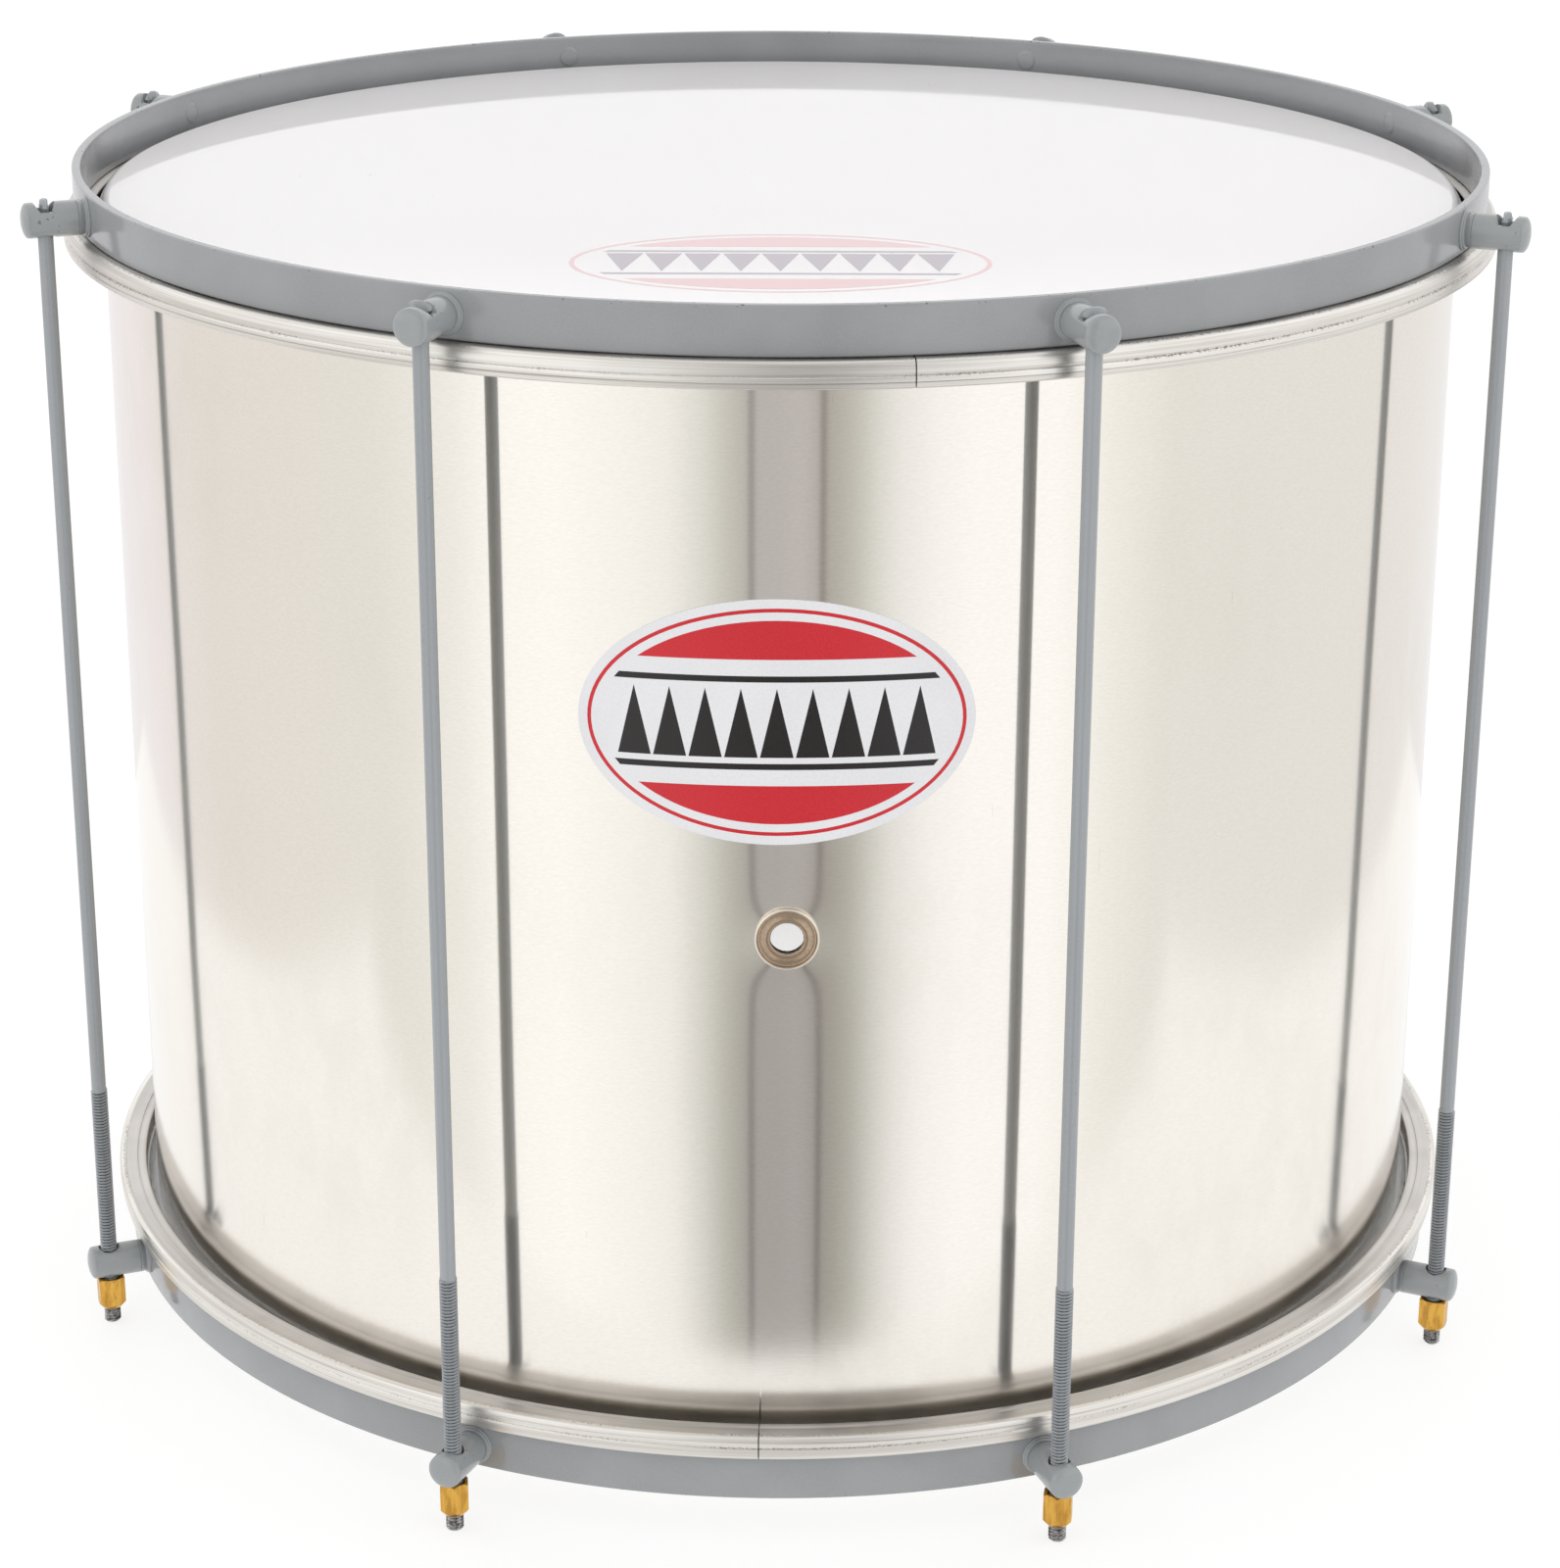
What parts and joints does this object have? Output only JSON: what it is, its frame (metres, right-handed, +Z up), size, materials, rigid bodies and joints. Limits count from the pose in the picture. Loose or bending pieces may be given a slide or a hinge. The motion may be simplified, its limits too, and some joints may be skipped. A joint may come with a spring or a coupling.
{
  "type": "surdo drum",
  "caption": "Deep two-headed bass drum: rolled aluminium shell, film heads in flesh hoops, flat steel counterhoops and through rods tuned by brass nuts.",
  "frame": {"origin": "middle of the base, level with the tips of the tension rods that the drum stands on", "axes": "+Z up along the drum's axis through the heads; -Y faces the vent and the badge"},
  "size_m": [0.5376, 0.5376, 0.4465],
  "materials": {
    "shell_aluminium": "bright rolled sheet with a fine vertical brush, near-mirror",
    "flesh_hoop_aluminium": "bare drawn channel, satin, with a fold line and crimp marks",
    "head_film": "glossy milky polyester film",
    "lock_ring_plastic": "moulded dark plastic, hidden",
    "hoop_paint": "semi-gloss grey enamel on steel, with small chips at the edges",
    "lug_paint": "semi-gloss grey enamel on turned steel",
    "rod_paint": "semi-gloss grey enamel, worn to bare steel below the nut",
    "nut_brass": "plain turned brass, lightly tarnished",
    "eyelet_nickel": "warm nickel plate with a bright rolled rim",
    "badge_vinyl": "glossy white sticker printed in red and black"
  },
  "bodies": {
    "drum": {"shell": "shell_aluminium", "vent_eyelet": "eyelet_nickel", "vent_washer": "eyelet_nickel", "badge": "badge_vinyl", "top_head_film": "head_film", "top_flesh_hoop": "flesh_hoop_aluminium", "top_lock_ring": "lock_ring_plastic", "top_counterhoop": "hoop_paint", "bottom_head_film": "head_film", "bottom_flesh_hoop": "flesh_hoop_aluminium", "bottom_lock_ring": "lock_ring_plastic", "bottom_counterhoop": "hoop_paint", "top_lug_1": "lug_paint", "top_lug_2": "lug_paint", "top_lug_3": "lug_paint", "top_lug_4": "lug_paint", "top_lug_5": "lug_paint", "top_lug_6": "lug_paint", "top_lug_7": "lug_paint", "top_lug_8": "lug_paint", "bottom_lug_1": "lug_paint", "bottom_lug_2": "lug_paint", "bottom_lug_3": "lug_paint", "bottom_lug_4": "lug_paint", "bottom_lug_5": "lug_paint", "bottom_lug_6": "lug_paint", "bottom_lug_7": "lug_paint", "bottom_lug_8": "lug_paint"},
    "rod_1": {"tension_rod_1": "rod_paint"},
    "nut_1": {"tuning_nut_1": "nut_brass"},
    "rod_2": {"tension_rod_2": "rod_paint"},
    "nut_2": {"tuning_nut_2": "nut_brass"},
    "rod_3": {"tension_rod_3": "rod_paint"},
    "nut_3": {"tuning_nut_3": "nut_brass"},
    "rod_4": {"tension_rod_4": "rod_paint"},
    "nut_4": {"tuning_nut_4": "nut_brass"},
    "rod_5": {"tension_rod_5": "rod_paint"},
    "nut_5": {"tuning_nut_5": "nut_brass"},
    "rod_6": {"tension_rod_6": "rod_paint"},
    "nut_6": {"tuning_nut_6": "nut_brass"},
    "rod_7": {"tension_rod_7": "rod_paint"},
    "nut_7": {"tuning_nut_7": "nut_brass"},
    "rod_8": {"tension_rod_8": "rod_paint"},
    "nut_8": {"tuning_nut_8": "nut_brass"}
  },
  "joints": [
    {"name": "rod_1_lift", "type": "slide", "parent": "drum", "child": "rod_1", "axis": [0, 0, 1], "range_m": [0, 0.01651]},
    {"name": "nut_1_turn", "type": "hinge", "parent": "drum", "child": "nut_1", "pos_m": [0.25841, 0.10704, 0.0122], "axis": [0, 0, -1], "range_deg": [0, 4681]},
    {"name": "rod_2_lift", "type": "slide", "parent": "drum", "child": "rod_2", "axis": [0, 0, 1], "range_m": [0, 0.01651]},
    {"name": "nut_2_turn", "type": "hinge", "parent": "drum", "child": "nut_2", "pos_m": [0.10704, 0.25841, 0.0122], "axis": [0, 0, -1], "range_deg": [0, 4681]},
    {"name": "rod_3_lift", "type": "slide", "parent": "drum", "child": "rod_3", "axis": [0, 0, 1], "range_m": [0, 0.01651]},
    {"name": "nut_3_turn", "type": "hinge", "parent": "drum", "child": "nut_3", "pos_m": [-0.10704, 0.25841, 0.0122], "axis": [0, 0, -1], "range_deg": [0, 4681]},
    {"name": "rod_4_lift", "type": "slide", "parent": "drum", "child": "rod_4", "axis": [0, 0, 1], "range_m": [0, 0.01651]},
    {"name": "nut_4_turn", "type": "hinge", "parent": "drum", "child": "nut_4", "pos_m": [-0.25841, 0.10704, 0.0122], "axis": [0, 0, -1], "range_deg": [0, 4681]},
    {"name": "rod_5_lift", "type": "slide", "parent": "drum", "child": "rod_5", "axis": [0, 0, 1], "range_m": [0, 0.01651]},
    {"name": "nut_5_turn", "type": "hinge", "parent": "drum", "child": "nut_5", "pos_m": [-0.25841, -0.10704, 0.0122], "axis": [0, 0, -1], "range_deg": [0, 4681]},
    {"name": "rod_6_lift", "type": "slide", "parent": "drum", "child": "rod_6", "axis": [0, 0, 1], "range_m": [0, 0.01651]},
    {"name": "nut_6_turn", "type": "hinge", "parent": "drum", "child": "nut_6", "pos_m": [-0.10704, -0.25841, 0.0122], "axis": [0, 0, -1], "range_deg": [0, 4681]},
    {"name": "rod_7_lift", "type": "slide", "parent": "drum", "child": "rod_7", "axis": [0, 0, 1], "range_m": [0, 0.01651]},
    {"name": "nut_7_turn", "type": "hinge", "parent": "drum", "child": "nut_7", "pos_m": [0.10704, -0.25841, 0.0122], "axis": [0, 0, -1], "range_deg": [0, 4681]},
    {"name": "rod_8_lift", "type": "slide", "parent": "drum", "child": "rod_8", "axis": [0, 0, 1], "range_m": [0, 0.01651]},
    {"name": "nut_8_turn", "type": "hinge", "parent": "drum", "child": "nut_8", "pos_m": [0.25841, -0.10704, 0.0122], "axis": [0, 0, -1], "range_deg": [0, 4681]}
  ],
  "couplings": [
    {"joint": "nut_1_turn", "follows": "rod_1_lift", "rad_per_m": 4947.4},
    {"joint": "nut_2_turn", "follows": "rod_2_lift", "rad_per_m": 4947.4},
    {"joint": "nut_3_turn", "follows": "rod_3_lift", "rad_per_m": 4947.4},
    {"joint": "nut_4_turn", "follows": "rod_4_lift", "rad_per_m": 4947.4},
    {"joint": "nut_5_turn", "follows": "rod_5_lift", "rad_per_m": 4947.4},
    {"joint": "nut_6_turn", "follows": "rod_6_lift", "rad_per_m": 4947.4},
    {"joint": "nut_7_turn", "follows": "rod_7_lift", "rad_per_m": 4947.4},
    {"joint": "nut_8_turn", "follows": "rod_8_lift", "rad_per_m": 4947.4}
  ]
}
